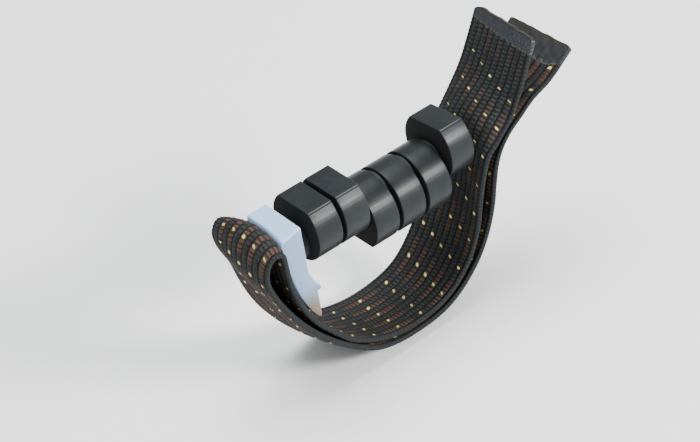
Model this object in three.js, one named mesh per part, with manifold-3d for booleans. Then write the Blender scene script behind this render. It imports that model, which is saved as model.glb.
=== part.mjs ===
// Partial capo: six eccentric cams on a rod across a guitar neck, a nylon end
// bracket that hooks over the near edge of the fretboard, and a doubled elastic
// strap that runs under the neck.
//
// Millimetres. +X runs along the rod from the bracket to the strap's free ends,
// +Y points at the nut of the guitar, +Z is up from the fretboard.
// The origin lies on the fretboard's surface, under the middle of the rod.

import * as THREE from "three";
import { mergeVertices } from "three/addons/utils/BufferGeometryUtils.js";
import Module from "manifold-3d";

const wasm = await Module();
wasm.setup();

// ---------------------------------------------------------------- dimensions

const ROD_Z = 11.0; // rod's axis above the fretboard
const ROD_R = 2.5;
const ROD_HALF = 26.2; // half the length of the full-size part of the rod
const STUD_R = 1.6; // turned-down ends of the rod
const STUD_NEAR = -34.8;
const STUD_FAR = 35.0;

const CAM_COUNT = 6;
const CAM_PITCH = 7.88;
const CAM_ROW_X = 0.8; // middle of the row of cams
const CAM_WIDTH = 6.8;
const CAM_R = 8.3;
const CAM_OFFSET = 2.9; // bore axis to the middle of the round
const CAM_FLAT = 6.6; // middle of the round to the flat
const CAM_BORE_R = 2.59;
const CAM_CHAMFER = 0.3;
// Where each cam's flat points, in degrees about +X: 0 is up, 180 down at the strings.
const CAM_TURN = [1, 1, 180, 180, 180, -4];

const SPACER_R = 4.9;
const SPACER_WIDTH = 0.9;
const END_WASHER_R = 4.6;
const END_WASHER_GAP = 0.14; // on each side of the two end washers
const COLLAR_R = 3.3;
const COLLAR_WIDTH = 1.0;

const BRACKET_HALF = 6.3; // half its length along the neck
const BRACKET_ROUND = 0.9; // its two top edges across the neck
const BRACKET_BORE_R = 2.65;
// How far the top's corners stand above the section, inner and outer, at its two ends.
const TOP_LIFT_NEAR = [0, -1.1];
const TOP_LIFT_FAR = [0.5, 0.7];
const TOP_REACH_NEAR = 0.6; // how far its outer corners stand out
const TOP_REACH_FAR = 0.45;
// Section of the bracket: outward from the middle of the rod, and up.
const BRACKET_SECTION = [
  [25.0, 18.2],
  [25.4, 18.6],
  [29.8, 18.5],
  [30.3, 17.4],
  [30.7, 15.8],
  [30.4, 13.5],
  [30.1, 9.5],
  [29.6, 6.6],
  [29.0, 3.8],
  [28.2, 0.8],
  [27.2, -2.1],
  [26.0, -4.8],
  [24.6, -6.9],
  [23.9, -7.2],
  [23.5, -6.6],
  [23.5, 0],
  [22.4, 0],
  [22.4, 0.75],
  [24.1, 3.4],
  [24.95, 6.0],
];

const STRAP_T = 1.5;
const STRAP_LOW_Y = -9.25;
const STRAP_HIGH_Y = 12.25;
const STRAP_HOLE_R = 1.95;
const STRAP_STEPS = 8; // path points between two control points
// Middle of the webbing from one free end to the other, as x, z pairs in three
// planes: its edge nearest the body of the guitar, the rod, and its other edge.
const STRAP_PATH = [
  [44.3, 33.3, 44.8, 33.8, 45.8, 34.0],
  [41.4, 27.6, 41.4, 27.4, 42.4, 27.6],
  [38.3, 21.6, 37.8, 21.8, 38.9, 21.6],
  [35.0, 16.4, 33.4, 18.2, 34.8, 16.4],
  [30.8, 12.5, 29.8, 14.8, 31.2, 12.5],
  [26.9, 9.4, 28.5, 10.4, 27.6, 9.4],
  [24.8, 5.1, 26.6, 5.2, 25.0, 5.1],
  [23.0, -0.5, 25.2, -0.2, 23.4, -0.5],
  [21.2, -8.0, 21.8, -8.0, 21.6, -8.0],
  [16.9, -15.6, 17.0, -15.7, 17.2, -15.8],
  [9.5, -21.1, 9.7, -21.6, 10.0, -22.3],
  [0.0, -22.7, 0.0, -23.6, 0.0, -24.5],
  [-9.5, -21.2, -9.9, -22.3, -10.4, -23.4],
  [-17.8, -16.5, -19.0, -17.8, -20.1, -19.0],
  [-22.5, -11.3, -23.8, -12.2, -24.8, -12.9],
  [-27.0, -5.4, -27.4, -5.8, -27.8, -6.1],
  [-30.2, 1.4, -30.1, 1.4, -29.8, 1.4],
  [-31.7, 7.2, -31.5, 7.4, -31.0, 7.2],
  [-32.1, 12.0, -32.1, 12.6, -31.3, 11.8],
  [-32.2, 14.4, -32.2, 15.4, -32.0, 14.2],
  [-32.7, 16.4, -31.5, 18.1, -33.2, 16.5],
  [-34.5, 17.0, -33.4, 19.4, -34.9, 16.9],
  [-36.5, 15.6, -36.2, 17.8, -36.2, 14.9],
  [-37.5, 11.8, -37.6, 12.6, -35.6, 11.1],
  [-36.1, 6.4, -35.4, 5.8, -33.4, 5.5],
  [-33.4, 0.5, -32.4, -0.5, -31.9, -0.8],
  [-30.3, -4.7, -29.7, -6.4, -29.8, -7.2],
  [-25.8, -10.6, -26.4, -12.5, -26.6, -13.6],
  [-18.9, -17.6, -20.4, -19.3, -21.5, -20.6],
  [-10.3, -23.4, -11.0, -24.8, -11.8, -25.9],
  [0.0, -24.9, 0.0, -26.1, 0.0, -26.9],
  [10.4, -23.3, 11.0, -24.4, 11.8, -25.1],
  [18.7, -17.6, 19.6, -18.0, 20.8, -18.8],
  [23.6, -11.0, 24.3, -11.0, 25.2, -11.2],
  [26.5, -3.9, 27.4, -3.9, 27.8, -3.9],
  [27.9, 1.8, 28.5, 1.8, 29.2, 1.8],
  [29.3, 6.6, 29.7, 6.6, 30.6, 6.6],
  [31.2, 9.9, 30.9, 10.6, 32.6, 9.9],
  [33.9, 12.7, 32.4, 13.8, 35.4, 12.6],
  [38.0, 15.5, 36.4, 16.4, 39.6, 15.4],
  [42.1, 18.2, 41.4, 18.8, 43.8, 18.0],
  [47.5, 20.4, 47.6, 20.7, 49.0, 20.2],
  [55.2, 25.6, 55.4, 25.6, 56.0, 25.3],
];
const STRAP_PLANES = [STRAP_LOW_Y, -5.0, 0, 5.5, STRAP_HIGH_Y];

const NEAR_WASHER = [-33.75, -33.3]; // x range, inside the loop of the strap
const NEAR_WASHER_R = 3.4;
const NEAR_CAP = [-35.3, -33.9];
const NEAR_CAP_R = 2.9;
const FAR_BUTTON = [33.8, 35.8];
const FAR_BUTTON_R = 2.8;

// ------------------------------------------------------------------- finishes

const RUBBER = { color: 0x26292b, roughness: 0.55, metalness: 0 };
const NYLON = { color: 0xc3cedb, roughness: 0.4, metalness: 0 };
const STEEL = { color: 0x9a9c9e, roughness: 0.3, metalness: 1 };
const DARK_NYLON = { color: 0x141516, roughness: 0.6, metalness: 0 };
const WEBBING = { color: 0x23262a, roughness: 0.95, metalness: 0 };

// -------------------------------------------------------------------- helpers

const part = new THREE.Group();
part.name = "partial_capo";

function addMesh(name, geometry, finish) {
  const mesh = new THREE.Mesh(geometry, new THREE.MeshStandardMaterial(finish));
  mesh.name = name;
  part.add(mesh);
}

function toManifold(geometry) {
  const bare = geometry.clone();
  bare.deleteAttribute("normal");
  bare.deleteAttribute("uv");
  const merged = mergeVertices(bare, 1e-4);
  return new wasm.Manifold(
    new wasm.Mesh({
      numProp: 3,
      vertProperties: new Float32Array(merged.attributes.position.array),
      triVerts: new Uint32Array(merged.index.array),
    }),
  );
}

function toGeometry(solid) {
  const mesh = solid.getMesh();
  const geometry = new THREE.BufferGeometry();
  geometry.setAttribute("position", new THREE.BufferAttribute(mesh.vertProperties, 3));
  geometry.setIndex(new THREE.BufferAttribute(mesh.triVerts, 1));
  geometry.computeVertexNormals();
  return geometry;
}

// A closed turned body along X. The profile is x, radius pairs from low x to high x.
function turned(profile, boreRadius) {
  const points = profile.map(([x, r]) => new THREE.Vector2(r, x));
  const low = profile[0][0];
  const high = profile[profile.length - 1][0];
  if (boreRadius > 0) {
    points.push(new THREE.Vector2(boreRadius, high));
    points.unshift(new THREE.Vector2(boreRadius, low));
    points.push(points[0].clone());
  } else {
    points.push(new THREE.Vector2(0, high));
    points.unshift(new THREE.Vector2(0, low));
  }
  const geometry = new THREE.LatheGeometry(points, 40);
  geometry.rotateZ(-Math.PI / 2); // the lathe's own axis, +Y, becomes +X
  geometry.translate(0, 0, ROD_Z);
  return toGeometry(toManifold(geometry));
}

// A plain ring or disc along X with its middle at x.
function ring(x, width, radius, boreRadius) {
  const half = width / 2;
  return turned([[x - half, radius], [x + half, radius]], boreRadius);
}

function rodCutter(radius, from, to) {
  return toManifold(turned([[from, radius], [to, radius]], 0));
}

// ----------------------------------------------------------------------- cams

function camGeometry(x, turn) {
  const halfFlat = Math.acos(CAM_FLAT / CAM_R);
  const outline = new THREE.Shape();
  const start = Math.PI / 2 + halfFlat;
  const end = Math.PI / 2 - halfFlat + 2 * Math.PI;
  outline.absarc(0, CAM_OFFSET, CAM_R, start, end, false);
  outline.closePath();
  const bore = new THREE.Path();
  bore.absarc(0, 0, CAM_BORE_R, 0, 2 * Math.PI, true);
  outline.holes.push(bore);
  const geometry = new THREE.ExtrudeGeometry(outline, {
    depth: CAM_WIDTH - 2 * CAM_CHAMFER,
    curveSegments: 30,
    bevelEnabled: true,
    bevelThickness: CAM_CHAMFER,
    bevelSize: CAM_CHAMFER,
    bevelOffset: -CAM_CHAMFER,
    bevelSegments: 1,
  });
  geometry.translate(0, 0, CAM_CHAMFER - CAM_WIDTH / 2);
  geometry.rotateY(Math.PI / 2);
  geometry.rotateX(Math.PI / 2); // the shape's +Y, towards the flat, becomes +Z
  geometry.rotateX(THREE.MathUtils.degToRad(turn));
  geometry.translate(x, 0, ROD_Z);
  return toGeometry(toManifold(geometry));
}

const firstCam = CAM_ROW_X - ((CAM_COUNT - 1) / 2) * CAM_PITCH;
for (let i = 0; i < CAM_COUNT; i += 1) {
  const x = firstCam + i * CAM_PITCH;
  addMesh(`cam_${i + 1}`, camGeometry(x, CAM_TURN[i]), RUBBER);
}

// -------------------------------------------------- rod, spacers and washers

addMesh(
  "rod",
  turned(
    [
      [STUD_NEAR, STUD_R],
      [-ROD_HALF, STUD_R],
      [-ROD_HALF, ROD_R],
      [ROD_HALF, ROD_R],
      [ROD_HALF, STUD_R],
      [STUD_FAR, STUD_R],
    ],
    0,
  ),
  STEEL,
);

for (let i = 0; i < CAM_COUNT - 1; i += 1) {
  const x = firstCam + (i + 0.5) * CAM_PITCH;
  addMesh(`spacer_${i + 1}`, ring(x, SPACER_WIDTH, SPACER_R, CAM_BORE_R), DARK_NYLON);
}

// A washer that fills the room between an end of the row and its neighbour.
function endWasher(from, to) {
  const width = to - from - 2 * END_WASHER_GAP;
  return ring((from + to) / 2, width, END_WASHER_R, CAM_BORE_R);
}

const nearEnd = firstCam - CAM_WIDTH / 2;
const farEnd = firstCam + (CAM_COUNT - 1) * CAM_PITCH + CAM_WIDTH / 2;
const bracketFace = BRACKET_SECTION[0][0];
addMesh("near_end_washer", endWasher(-bracketFace, nearEnd), DARK_NYLON);
addMesh("far_end_washer", endWasher(farEnd, bracketFace), DARK_NYLON);
addMesh(
  "far_collar",
  ring(bracketFace + COLLAR_WIDTH / 2 + 0.1, COLLAR_WIDTH, COLLAR_R, CAM_BORE_R),
  STEEL,
);

// -------------------------------------------------------------------- bracket

// Tilts the bracket's top a little and draws its outer corners out, above the shoulder only.
function liftTop(point) {
  const rise = THREE.MathUtils.smoothstep(point[2], 13.6, 18.2);
  const out = THREE.MathUtils.clamp((-point[0] - 25) / 5.2, 0, 1);
  const along = THREE.MathUtils.clamp((point[1] + BRACKET_HALF) / (2 * BRACKET_HALF), 0, 1);
  const near = THREE.MathUtils.lerp(TOP_LIFT_NEAR[0], TOP_LIFT_NEAR[1], out);
  const far = THREE.MathUtils.lerp(TOP_LIFT_FAR[0], TOP_LIFT_FAR[1], out);
  point[2] += rise * THREE.MathUtils.lerp(near, far, along);
  const side = 2 * along - 1;
  const reach = side < 0 ? -side * TOP_REACH_NEAR : side * TOP_REACH_FAR;
  point[0] -= rise * out * reach;
}

// The section runs the bracket's whole length. The plan seen along the rod rounds its top.
function bracketGeometry() {
  const section = new THREE.Shape(
    BRACKET_SECTION.map(([out, up]) => new THREE.Vector2(-out, up)),
  );
  const bar = new THREE.ExtrudeGeometry(section, {
    depth: 2 * BRACKET_HALF + 4,
    bevelEnabled: false,
  });
  bar.translate(0, 0, -BRACKET_HALF - 2);
  bar.rotateX(Math.PI / 2); // the section's up becomes +Z, its depth runs along Y
  const top = BRACKET_SECTION[1][1] + 0.05;
  const rounded = new THREE.Shape();
  rounded.moveTo(-BRACKET_HALF, -10);
  rounded.lineTo(BRACKET_HALF, -10);
  rounded.lineTo(BRACKET_HALF, top - BRACKET_ROUND);
  rounded.absarc(BRACKET_HALF - BRACKET_ROUND, top - BRACKET_ROUND, BRACKET_ROUND, 0, Math.PI / 2);
  rounded.lineTo(BRACKET_ROUND - BRACKET_HALF, top);
  rounded.absarc(
    BRACKET_ROUND - BRACKET_HALF,
    top - BRACKET_ROUND,
    BRACKET_ROUND,
    Math.PI / 2,
    Math.PI,
  );
  rounded.closePath();
  const plan = new THREE.ExtrudeGeometry(rounded, {
    depth: 20,
    bevelEnabled: false,
    curveSegments: 5,
  });
  plan.translate(0, 0, -38);
  plan.rotateY(Math.PI / 2);
  plan.rotateX(Math.PI / 2); // the shape's own +X is now +Y, and its +Y is +Z
  const block = toManifold(bar).intersect(toManifold(plan)).warp(liftTop);
  const bore = rodCutter(BRACKET_BORE_R, -40, -20);
  return toGeometry(block.subtract(bore));
}

addMesh("near_bracket", bracketGeometry(), NYLON);

// ---------------------------------------------------------------------- strap

// The middle line in the plane at y, made by a parabola through the three planes given.
function strapLine(y) {
  const a = STRAP_LOW_Y;
  const b = STRAP_HIGH_Y;
  const low = (y * (y - b)) / (a * (a - b));
  const middle = ((y - a) * (y - b)) / (a * b);
  const high = (y * (y - a)) / (b * (b - a));
  const controls = STRAP_PATH.map(
    ([xa, za, xm, zm, xb, zb]) =>
      new THREE.Vector3(
        low * xa + middle * xm + high * xb,
        y,
        low * za + middle * zm + high * zb,
      ),
  );
  const curve = new THREE.CatmullRomCurve3(controls, false, "centripetal");
  const count = (controls.length - 1) * STRAP_STEPS;
  return Array.from({ length: count + 1 }, (_, i) => {
    const at = curve.getPoint(i / count);
    const along = curve.getTangent(i / count);
    const across = new THREE.Vector3(-along.z, 0, along.x).normalize();
    return { at, across };
  });
}

// A ribbon with a closed outline in every plane, joined up from plane to plane.
function strapGeometry() {
  const outlines = STRAP_PLANES.map((y) => {
    const line = strapLine(y).filter((_, i) => i % 4 === 0);
    const one = line.map((p) => p.at.clone().addScaledVector(p.across, STRAP_T / 2));
    const two = line.map((p) => p.at.clone().addScaledVector(p.across, -STRAP_T / 2));
    return [...one, ...two.reverse()];
  });
  const size = outlines[0].length;
  const half = size / 2;
  const positions = outlines.flat().flatMap((p) => [p.x, p.y, p.z]);
  const faces = [];
  for (let k = 0; k < outlines.length - 1; k += 1) {
    for (let i = 0; i < size; i += 1) {
      const a = k * size + i;
      const b = k * size + ((i + 1) % size);
      faces.push(a, b, b + size, a, b + size, a + size);
    }
  }
  const last = (outlines.length - 1) * size;
  for (let i = 0; i < half - 1; i += 1) {
    const j = size - 1 - i;
    faces.push(i, j, j - 1, i, j - 1, i + 1);
    faces.push(last + i, last + j - 1, last + j, last + i, last + i + 1, last + j - 1);
  }
  const geometry = new THREE.BufferGeometry();
  geometry.setAttribute("position", new THREE.Float32BufferAttribute(positions, 3));
  geometry.setIndex(faces);
  return geometry;
}

function strapWithHoles() {
  const ribbon = toManifold(strapGeometry());
  const near = rodCutter(STRAP_HOLE_R, -35, -29);
  const far = rodCutter(STRAP_HOLE_R, 26, 35);
  return toGeometry(ribbon.subtract(near).subtract(far));
}

addMesh("elastic_strap", strapWithHoles(), WEBBING);

// --------------------------------------------------------- ends of the rod

addMesh(
  "near_strap_washer",
  turned(
    [[NEAR_WASHER[0], NEAR_WASHER_R], [NEAR_WASHER[1], NEAR_WASHER_R]],
    STUD_R + 0.2,
  ),
  STEEL,
);

// A low dome with a blind hole over the end of the rod.
function domed(low, high, radius, outwards) {
  const height = high - low;
  const profile = [0, 0.35, 0.6, 0.8, 0.92, 1].map((s) => [
    outwards > 0 ? low + height * s : high - height * s,
    radius * Math.sqrt(Math.max(0.02, 1 - Math.max(0, (s - 0.25) / 0.75) ** 2)),
  ]);
  if (outwards < 0) profile.reverse();
  return toManifold(turned(profile, 0));
}

addMesh(
  "near_cap",
  toGeometry(
    domed(NEAR_CAP[0], NEAR_CAP[1], NEAR_CAP_R, -1).subtract(
      rodCutter(STUD_R + 0.15, STUD_NEAR - 0.15, -30),
    ),
  ),
  STEEL,
);
addMesh(
  "far_button",
  toGeometry(
    domed(FAR_BUTTON[0], FAR_BUTTON[1], FAR_BUTTON_R, 1).subtract(
      rodCutter(STUD_R + 0.15, 30, STUD_FAR + 0.15),
    ),
  ),
  STEEL,
);

export default part;
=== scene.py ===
"""Partial guitar capo: the looks of its cams, nylon bracket, rod and woven strap.

Millimetres in the row frame: +X along the rod to the free ends, +Y to the nut, +Z up.
"""

import math

import bmesh
import bpy
import numpy as np
from mathutils import Matrix, Vector


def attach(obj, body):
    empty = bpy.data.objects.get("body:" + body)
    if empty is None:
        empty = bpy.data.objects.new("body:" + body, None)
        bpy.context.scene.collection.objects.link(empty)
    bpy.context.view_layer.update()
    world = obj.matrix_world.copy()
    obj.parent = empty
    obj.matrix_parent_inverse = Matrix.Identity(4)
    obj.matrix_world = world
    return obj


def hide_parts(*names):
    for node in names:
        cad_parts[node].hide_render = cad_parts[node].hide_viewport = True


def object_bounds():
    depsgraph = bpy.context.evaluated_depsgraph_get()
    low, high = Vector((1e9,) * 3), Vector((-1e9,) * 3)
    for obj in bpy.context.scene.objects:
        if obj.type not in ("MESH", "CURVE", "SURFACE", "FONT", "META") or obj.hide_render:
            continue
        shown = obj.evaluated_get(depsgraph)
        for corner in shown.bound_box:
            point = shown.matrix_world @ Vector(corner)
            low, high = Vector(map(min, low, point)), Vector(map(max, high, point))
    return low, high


MM = 0.001
ROD_Z = 11.0  # the rod's axis above the fretboard

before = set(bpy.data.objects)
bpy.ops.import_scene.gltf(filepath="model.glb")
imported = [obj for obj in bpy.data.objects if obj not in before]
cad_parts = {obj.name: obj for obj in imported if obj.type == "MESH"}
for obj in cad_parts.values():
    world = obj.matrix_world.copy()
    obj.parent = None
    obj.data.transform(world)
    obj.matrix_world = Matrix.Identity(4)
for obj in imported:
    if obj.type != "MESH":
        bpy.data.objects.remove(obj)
size_before = [list(map(float, c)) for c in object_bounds()]


# ------------------------------------------------------------------ meshes

SEGMENTS = 72  # round each turned piece
NEARLY_STRAIGHT = math.radians(86)  # half the angle of a corner that isn't rounded
SIDE_SHARE = 0.48  # the most of a side that one rounding takes


def add_piece(node, verts, faces, material, slot, body="root", sharp=35):
    """A mesh in millimetres that rides on a CAD body and replaces one node, whose name it takes."""
    name = node + "_look"
    mesh = bpy.data.meshes.new(name)
    mesh.from_pydata((np.asarray(verts, float) * MM).tolist(), [], faces)
    mesh.validate()
    mesh.polygons.foreach_set("use_smooth", [True] * len(mesh.polygons))
    mesh.set_sharp_from_angle(angle=math.radians(sharp))
    obj = bpy.data.objects.new(name, mesh)
    bpy.context.scene.collection.objects.link(obj)
    mesh.materials.append(material)
    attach(obj, body)
    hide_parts(node)
    return obj


def flip_outward(obj):
    """Turns every face of a closed mesh outward."""
    bm = bmesh.new()
    bm.from_mesh(obj.data)
    bmesh.ops.recalc_face_normals(bm, faces=bm.faces)
    bm.to_mesh(obj.data)
    bm.free()


def ring_faces(rings, count, closed=True):
    """Quads between neighbouring rings of count points; closed joins the last ring to the first."""
    faces = []
    last = rings if closed else rings - 1
    for k in range(last):
        a, b = k * count, ((k + 1) % rings) * count
        for i in range(count):
            j = (i + 1) % count
            faces.append((a + i, a + j, b + j, b + i))
    return faces


def rounded(profile, radii, steps):
    """A closed polyline, each corner rounded to its own radius as far as its sides allow."""
    out = []
    count = len(profile)
    for i, p in enumerate(profile):
        p = np.array(p, float)
        a = np.array(profile[i - 1], float) - p
        b = np.array(profile[(i + 1) % count], float) - p
        la, lb = np.linalg.norm(a), np.linalg.norm(b)
        a, b = a / la, b / lb
        half = math.acos(max(-1.0, min(1.0, float(a @ b)))) / 2
        if radii[i] == 0 or half > NEARLY_STRAIGHT:
            out.append(p)
            continue
        reach = min(radii[i] / math.tan(half), la * SIDE_SHARE, lb * SIDE_SHARE)
        r = reach * math.tan(half)
        middle = p + (a + b) / np.linalg.norm(a + b) * r / math.sin(half)
        start, end = p + a * reach - middle, p + b * reach - middle
        turn = math.atan2(start[0] * end[1] - start[1] * end[0], float(start @ end))
        for k in range(steps + 1):
            t = turn * k / steps
            c, s = math.cos(t), math.sin(t)
            out.append(middle + [start[0] * c - start[1] * s, start[0] * s + start[1] * c])
    return out


def turned(node, profile, look, corner=0.12):
    """A fixed piece turned about the rod's axis; look is its material and a slot name, which is not
    used.

    Its profile is a loop of (x, radius), where a radius of 0 lies on the axis.
    """
    loop = rounded(profile, [0 if r == 0 else corner for _, r in profile], 3)
    verts, faces, rows = [], [], []
    for x, r in loop:
        if r == 0:
            rows.append([len(verts)])
            verts.append((x, 0, ROD_Z))
        else:
            rows.append(list(range(len(verts), len(verts) + SEGMENTS)))
            for k in range(SEGMENTS):
                a = 2 * math.pi * k / SEGMENTS
                verts.append((x, -r * math.sin(a), ROD_Z + r * math.cos(a)))
    for one, two in zip(rows, rows[1:] + rows[:1]):
        if len(one) == 1 and len(two) == 1:
            continue
        for k in range(SEGMENTS):
            m = (k + 1) % SEGMENTS
            if len(one) == 1:
                faces.append((one[0], two[m], two[k]))
            elif len(two) == 1:
                faces.append((one[k], one[m], two[0]))
            else:
                faces.append((one[k], one[m], two[m], two[k]))
    add_piece(node, verts, faces, *look)


# --------------------------------------------------------------- materials

class Nodes:
    """Short forms for building a shader."""

    def __init__(self, name):
        self.material = bpy.data.materials.new(name)
        self.material.use_nodes = True
        self.tree = self.material.node_tree
        self.bsdf = self.tree.nodes["Principled BSDF"]

    def add(self, kind, **settings):
        """A new shader node with these settings."""
        node = self.tree.nodes.new("ShaderNode" + kind)
        for key, value in settings.items():
            setattr(node, key, value)
        return node

    def link(self, a, b):
        self.tree.links.new(a, b)

    def put(self, socket, value):
        """Links a socket to the input, or sets a number or colour on it."""
        if isinstance(value, bpy.types.NodeSocket):
            self.link(value, socket)
        else:
            socket.default_value = value

    def math(self, operation, a, b=0.0, c=0.0):
        """The result of a Math node."""
        node = self.add("Math", operation=operation)
        for socket, value in zip(node.inputs, (a, b, c)):
            self.put(socket, value)
        return node.outputs[0]

    def mix(self, factor, a, b):
        """Colour a where the factor is 0, b where it is 1."""
        node = self.add("Mix", data_type="RGBA")
        self.put(node.inputs[0], factor)
        self.put(node.inputs[6], a)
        self.put(node.inputs[7], b)
        return node.outputs[2]

    def step(self, value, low, high):
        """0 at low, 1 at high, smooth between and level beyond; low may be the larger."""
        node = self.add("MapRange", interpolation_type="SMOOTHSTEP")
        for socket, v in zip(node.inputs, (value, low, high, 0.0, 1.0)):
            self.put(socket, v)
        return node.outputs[0]

    def noise(self, vector, scale, detail, roughness):
        """Smooth noise about 0.5."""
        node = self.add("TexNoise")
        self.link(vector, node.inputs["Vector"])
        node.inputs["Scale"].default_value = scale
        node.inputs["Detail"].default_value = detail
        node.inputs["Roughness"].default_value = roughness
        return node.outputs["Fac"]

    def place(self, scale=(1, 1, 1), output="Object"):
        """Object coordinates, or another output of their node, multiplied by a scale."""
        coords = self.add("TexCoord")
        mapping = self.add("Mapping")
        mapping.inputs["Scale"].default_value = scale
        self.link(coords.outputs[output], mapping.inputs["Vector"])
        return mapping.outputs[0]

    def bump(self, height, distance, strength):
        """A normal bent by a height, at most this distance in metres."""
        node = self.add("Bump")
        node.inputs["Strength"].default_value = strength
        node.inputs["Distance"].default_value = distance
        self.link(height, node.inputs["Height"])
        return node.outputs[0]


def rubber(name, shade):
    """Extruded rubber: glossy and finely lined along the rod, with dull cut faces given a darker
    colour as painted shade.
    """
    n = Nodes(name)
    lines = n.noise(n.place(scale=(14, 1900, 1900)), 1.0, 3.0, 0.7)
    cloud = n.noise(n.place(scale=(170, 170, 170)), 1.0, 3.0, 0.55)
    fine = n.noise(n.place(scale=(4200, 4200, 4200)), 1.0, 2.0, 0.6)
    facing = n.add("SeparateXYZ")
    n.link(n.place(output="Normal"), facing.inputs[0])
    cut = n.step(n.math("ABSOLUTE", facing.outputs[0]), 0.75, 0.95)
    dark = tuple(c * shade for c in (0.0070, 0.0092, 0.0104)) + (1,)
    pale = tuple(c * shade for c in (0.0115, 0.0148, 0.0165)) + (1,)
    skin = n.mix(n.step(cloud, 0.3, 0.75), dark, pale)
    # painted shade: the cut faces, which face along the rod, get a darker colour than the round
    n.link(n.mix(cut, skin, (0.0075, 0.0075, 0.0078, 1)), n.bsdf.inputs["Base Color"])
    rough = n.math("MULTIPLY_ADD", lines, 0.16, 0.24)
    rough = n.math("MULTIPLY_ADD", cloud, 0.08, rough)
    n.link(n.math("MULTIPLY_ADD", cut, 0.55, rough), n.bsdf.inputs["Roughness"])
    n.bsdf.inputs["Specular IOR Level"].default_value = 0.2
    height = n.math("MULTIPLY_ADD", fine, 0.2, lines)
    n.link(n.bump(height, 0.00009, 0.5), n.bsdf.inputs["Normal"])
    return n.material


def nylon(name):
    """Milky nylon with a cool tint; painted shade makes its two ends deeper, and a painted warm
    glow at the foot stands for light coming through from the wood behind.
    """
    n = Nodes(name)
    b = n.bsdf
    cloud = n.noise(n.place(scale=(120, 120, 120)), 1.0, 3.0, 0.5)
    fine = n.noise(n.place(scale=(1500, 1500, 1500)), 1.0, 3.0, 0.55)
    cool = (0.34, 0.49, 0.71, 1)
    warm = (0.39, 0.53, 0.73, 1)
    height = n.add("SeparateXYZ")
    n.link(n.place(), height.inputs[0])
    # painted light: the foot turns warm, for light from the wood behind shining through the thin
    # nylon
    foot = n.step(height.outputs[2], 0.0030, -0.0040)
    facing = n.add("SeparateXYZ")
    n.link(n.place(output="Normal"), facing.inputs[0])
    # painted shade: the two ends, which face along the neck, are mixed towards a deeper blue
    shaded_ends = n.step(n.math("ABSOLUTE", facing.outputs[1]), 0.8, 0.97)
    painted_end_shade = (0.20, 0.295, 0.43, 1)
    painted_see_through_amber = (0.17, 0.125, 0.068, 1)
    tint = n.mix(n.math("MULTIPLY", shaded_ends, 0.9), n.mix(cloud, cool, warm), painted_end_shade)
    tint = n.mix(n.math("MULTIPLY", foot, 0.92), tint, painted_see_through_amber)
    n.link(tint, b.inputs["Base Color"])
    b.inputs["Subsurface Weight"].default_value = 0.75
    b.inputs["Subsurface Radius"].default_value = (1.0, 0.95, 0.9)
    b.inputs["Subsurface Scale"].default_value = 0.0022
    b.inputs["Roughness"].default_value = 0.38
    b.inputs["IOR"].default_value = 1.5
    n.link(n.bump(n.math("MULTIPLY_ADD", cloud, 1.5, fine), 0.00008, 0.3), b.inputs["Normal"])
    return n.material


def steel(name):
    """Satin steel with faint lines from turning."""
    n = Nodes(name)
    rings = n.noise(n.place(scale=(2600, 40, 40)), 1.0, 2.0, 0.6)
    n.bsdf.inputs["Base Color"].default_value = (0.42, 0.42, 0.43, 1)
    n.bsdf.inputs["Metallic"].default_value = 1.0
    n.link(n.math("MULTIPLY_ADD", rings, 0.25, 0.22), n.bsdf.inputs["Roughness"])
    n.link(n.bump(rings, 0.00003, 0.4), n.bsdf.inputs["Normal"])
    return n.material


def black_plastic(name):
    """Dull black plastic."""
    n = Nodes(name)
    grain = n.noise(n.place(scale=(2500, 2500, 2500)), 1.0, 2.0, 0.5)
    n.bsdf.inputs["Base Color"].default_value = (0.006, 0.006, 0.0065, 1)
    n.link(n.math("MULTIPLY_ADD", grain, 0.2, 0.55), n.bsdf.inputs["Roughness"])
    n.link(n.bump(grain, 0.00003, 0.3), n.bsdf.inputs["Normal"])
    return n.material


# -------------------------------------------------------------------- cams

CAM_COUNT = 6
CAM_PITCH = 7.88
CAM_ROW_X = 0.8  # the middle of the row
CAM_HALF = 3.4  # half a cam's width
CAM_R = 8.3
CAM_OFFSET = 2.9  # from the bore's axis to the middle of the round
CAM_FLAT = 6.6  # from there to the flat
CAM_BORE_R = 2.59
CAM_TURN = (1, 1, 180, 180, 180, -4)  # degrees from flat up, at rest
CAM_SHADES = (1.0, 1.06, 0.95, 1.03, 0.98, 1.05)
EDGE = 0.22  # radius of the edges between the round and the cut faces
EDGE_RINGS = 6  # on each of these edges
ROUND_RING = 1.2  # one more ring this far on each side of the round's middle
BORE_FLARE, BORE_FLARE_DEPTH = 1.1, 0.25  # how much wider the bore's mouth is, and its depth
CREASE_DEG = 38.2  # from the flat's middle to the crease between flat and round
CREASE_SOFT = 0.2  # width over which the crease is rounded
SHOULDER, SHOULDER_DEG = 0.16, 22  # how proud the round stands at a crease, fading over an angle
GROOVE = 0.05  # a fine line pressed in beside each crease
GROOVE_DEG, GROOVE_WIDTH_DEG = 2.6, 0.8  # the angle from the crease to it, and its width
ROUND_POINTS, FLAT_POINTS, FINE_POINTS = 3000, 600, 3600
CREASE_STRIDE, EVEN_STRIDE = 3, 25  # one fine point in so many is kept, at a crease and elsewhere
CREASE_REACH, CREASE_FADE = 1.3, 2.0  # where the stride starts to grow, and over what length


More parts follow.
